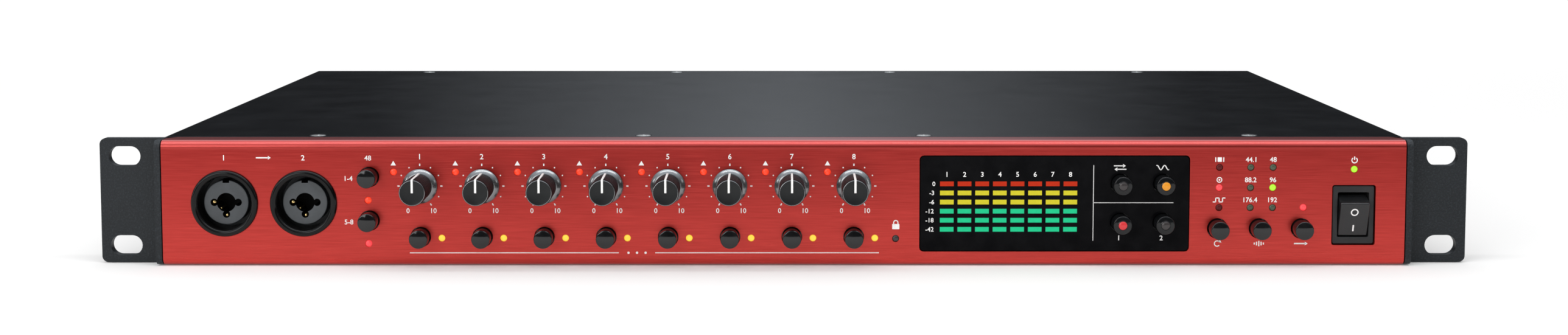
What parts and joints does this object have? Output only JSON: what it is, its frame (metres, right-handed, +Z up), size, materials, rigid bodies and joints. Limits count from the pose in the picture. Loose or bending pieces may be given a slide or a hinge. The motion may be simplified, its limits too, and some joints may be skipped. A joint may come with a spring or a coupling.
{
  "type": "rack audio interface",
  "caption": "One-unit rack audio interface: red front panel with gain knobs, buttons, level-meter window and combination sockets, on a flat black case with slotted ears.",
  "frame": {"origin": "middle of the footprint, on the surface that the unit rests on", "axes": "+X along the front to the right as seen from in front, +Y to the rear, +Z up"},
  "size_m": [0.4826, 0.3004, 0.0445],
  "materials": {
    "red_lacquer": "satin red anodised look",
    "black_powder_coat": "fine-textured black powder coat",
    "dark_window": "polished dark window",
    "black_plastic": "moulded black plastic",
    "knob_plastic": "black knob with bright skirt",
    "button_plastic": "glossy black button",
    "smoked_button": "smoked translucent button",
    "clear_plastic": "clear light guide",
    "board_laminate": "green circuit board",
    "bright_steel": "bright plated steel"
  },
  "bodies": {
    "case": {"front_panel": "red_lacquer", "rack_ear_left": "black_powder_coat", "rack_ear_right": "black_powder_coat", "top_cover": "black_powder_coat", "chassis_tray": "black_powder_coat", "rear_panel": "black_powder_coat", "meter_window": "dark_window", "switch_frame": "black_plastic", "overload_light_guide": "clear_plastic", "channel_light_guide": "clear_plastic", "clock_light_guide": "clear_plastic", "front_board": "board_laminate", "main_board": "board_laminate", "power_supply": "board_laminate", "mains_inlet": "black_plastic", "optical_ports": "black_plastic", "clock_sockets": "bright_steel", "multipin_connector": "bright_steel", "cover_screw_front_1": "bright_steel", "cover_screw_front_2": "bright_steel", "cover_screw_front_3": "bright_steel", "cover_screw_front_4": "bright_steel", "cover_screw_rear_1": "bright_steel", "cover_screw_rear_2": "bright_steel", "cover_screw_rear_3": "bright_steel", "cover_screw_rear_4": "bright_steel", "combo_jack_1": "black_plastic", "combo_jack_2": "black_plastic", "rear_jack_3": "black_plastic", "rear_jack_4": "black_plastic", "rear_jack_5": "black_plastic", "rear_jack_6": "black_plastic", "rear_jack_7": "black_plastic", "rear_jack_8": "black_plastic"},
    "knob_1": {"gain_knob_1": "knob_plastic"},
    "knob_2": {"gain_knob_2": "knob_plastic"},
    "knob_3": {"gain_knob_3": "knob_plastic"},
    "knob_4": {"gain_knob_4": "knob_plastic"},
    "knob_5": {"gain_knob_5": "knob_plastic"},
    "knob_6": {"gain_knob_6": "knob_plastic"},
    "knob_7": {"gain_knob_7": "knob_plastic"},
    "knob_8": {"gain_knob_8": "knob_plastic"},
    "channel_button_1_body": {"channel_button_1": "button_plastic"},
    "channel_button_2_body": {"channel_button_2": "button_plastic"},
    "channel_button_3_body": {"channel_button_3": "button_plastic"},
    "channel_button_4_body": {"channel_button_4": "button_plastic"},
    "channel_button_5_body": {"channel_button_5": "button_plastic"},
    "channel_button_6_body": {"channel_button_6": "button_plastic"},
    "channel_button_7_body": {"channel_button_7": "button_plastic"},
    "channel_button_8_body": {"channel_button_8": "button_plastic"},
    "phantom_button_low_body": {"phantom_button_low": "button_plastic"},
    "phantom_button_high_body": {"phantom_button_high": "button_plastic"},
    "clock_button_body": {"clock_button": "button_plastic"},
    "rate_button_body": {"rate_button": "button_plastic"},
    "route_button_body": {"route_button": "button_plastic"},
    "insert_button_body": {"insert_button": "smoked_button"},
    "tone_button_body": {"tone_button": "smoked_button"},
    "instrument_button_1_body": {"instrument_button_1": "smoked_button"},
    "instrument_button_2_body": {"instrument_button_2": "smoked_button"},
    "rocker": {"power_rocker": "black_plastic"}
  },
  "joints": [
    {"name": "gain_turn_1", "type": "hinge", "parent": "case", "child": "knob_1", "pos_m": [-0.12735, -0.13275, 0.0284], "axis": [0, 1, 0], "range_deg": [-150, 150]},
    {"name": "gain_turn_2", "type": "hinge", "parent": "case", "child": "knob_2", "pos_m": [-0.10565, -0.13275, 0.0284], "axis": [0, 1, 0], "range_deg": [-150, 150]},
    {"name": "gain_turn_3", "type": "hinge", "parent": "case", "child": "knob_3", "pos_m": [-0.08395, -0.13275, 0.0284], "axis": [0, 1, 0], "range_deg": [-150, 150]},
    {"name": "gain_turn_4", "type": "hinge", "parent": "case", "child": "knob_4", "pos_m": [-0.06225, -0.13275, 0.0284], "axis": [0, 1, 0], "range_deg": [-150, 150]},
    {"name": "gain_turn_5", "type": "hinge", "parent": "case", "child": "knob_5", "pos_m": [-0.04055, -0.13275, 0.0284], "axis": [0, 1, 0], "range_deg": [-150, 150]},
    {"name": "gain_turn_6", "type": "hinge", "parent": "case", "child": "knob_6", "pos_m": [-0.01885, -0.13275, 0.0284], "axis": [0, 1, 0], "range_deg": [-150, 150]},
    {"name": "gain_turn_7", "type": "hinge", "parent": "case", "child": "knob_7", "pos_m": [0.00285, -0.13275, 0.0284], "axis": [0, 1, 0], "range_deg": [-150, 150]},
    {"name": "gain_turn_8", "type": "hinge", "parent": "case", "child": "knob_8", "pos_m": [0.02455, -0.13275, 0.0284], "axis": [0, 1, 0], "range_deg": [-150, 150]},
    {"name": "channel_press_1", "type": "slide", "parent": "case", "child": "channel_button_1_body", "axis": [0, 1, 0], "range_m": [0, 0.001], "stiffness_N_per_m": 800, "springref_m": -0.0008},
    {"name": "channel_press_2", "type": "slide", "parent": "case", "child": "channel_button_2_body", "axis": [0, 1, 0], "range_m": [0, 0.001], "stiffness_N_per_m": 800, "springref_m": -0.0008},
    {"name": "channel_press_3", "type": "slide", "parent": "case", "child": "channel_button_3_body", "axis": [0, 1, 0], "range_m": [0, 0.001], "stiffness_N_per_m": 800, "springref_m": -0.0008},
    {"name": "channel_press_4", "type": "slide", "parent": "case", "child": "channel_button_4_body", "axis": [0, 1, 0], "range_m": [0, 0.001], "stiffness_N_per_m": 800, "springref_m": -0.0008},
    {"name": "channel_press_5", "type": "slide", "parent": "case", "child": "channel_button_5_body", "axis": [0, 1, 0], "range_m": [0, 0.001], "stiffness_N_per_m": 800, "springref_m": -0.0008},
    {"name": "channel_press_6", "type": "slide", "parent": "case", "child": "channel_button_6_body", "axis": [0, 1, 0], "range_m": [0, 0.001], "stiffness_N_per_m": 800, "springref_m": -0.0008},
    {"name": "channel_press_7", "type": "slide", "parent": "case", "child": "channel_button_7_body", "axis": [0, 1, 0], "range_m": [0, 0.001], "stiffness_N_per_m": 800, "springref_m": -0.0008},
    {"name": "channel_press_8", "type": "slide", "parent": "case", "child": "channel_button_8_body", "axis": [0, 1, 0], "range_m": [0, 0.001], "stiffness_N_per_m": 800, "springref_m": -0.0008},
    {"name": "phantom_press_low", "type": "slide", "parent": "case", "child": "phantom_button_low_body", "axis": [0, 1, 0], "range_m": [0, 0.001], "stiffness_N_per_m": 800, "springref_m": -0.0008},
    {"name": "phantom_press_high", "type": "slide", "parent": "case", "child": "phantom_button_high_body", "axis": [0, 1, 0], "range_m": [0, 0.001], "stiffness_N_per_m": 800, "springref_m": -0.0008},
    {"name": "clock_press", "type": "slide", "parent": "case", "child": "clock_button_body", "axis": [0, 1, 0], "range_m": [0, 0.001], "stiffness_N_per_m": 800, "springref_m": -0.0008},
    {"name": "rate_press", "type": "slide", "parent": "case", "child": "rate_button_body", "axis": [0, 1, 0], "range_m": [0, 0.001], "stiffness_N_per_m": 800, "springref_m": -0.0008},
    {"name": "route_press", "type": "slide", "parent": "case", "child": "route_button_body", "axis": [0, 1, 0], "range_m": [0, 0.001], "stiffness_N_per_m": 800, "springref_m": -0.0008},
    {"name": "insert_press", "type": "slide", "parent": "case", "child": "insert_button_body", "axis": [0, 1, 0], "range_m": [0, 0.001], "stiffness_N_per_m": 800, "springref_m": -0.0008},
    {"name": "tone_press", "type": "slide", "parent": "case", "child": "tone_button_body", "axis": [0, 1, 0], "range_m": [0, 0.001], "stiffness_N_per_m": 800, "springref_m": -0.0008},
    {"name": "instrument_press_1", "type": "slide", "parent": "case", "child": "instrument_button_1_body", "axis": [0, 1, 0], "range_m": [0, 0.001], "stiffness_N_per_m": 800, "springref_m": -0.0008},
    {"name": "instrument_press_2", "type": "slide", "parent": "case", "child": "instrument_button_2_body", "axis": [0, 1, 0], "range_m": [0, 0.001], "stiffness_N_per_m": 800, "springref_m": -0.0008},
    {"name": "power_rock", "type": "hinge", "parent": "case", "child": "rocker", "pos_m": [0.1998, -0.12815, 0.0181], "axis": [1, 0, 0], "range_deg": [-34, 0]}
  ]
}
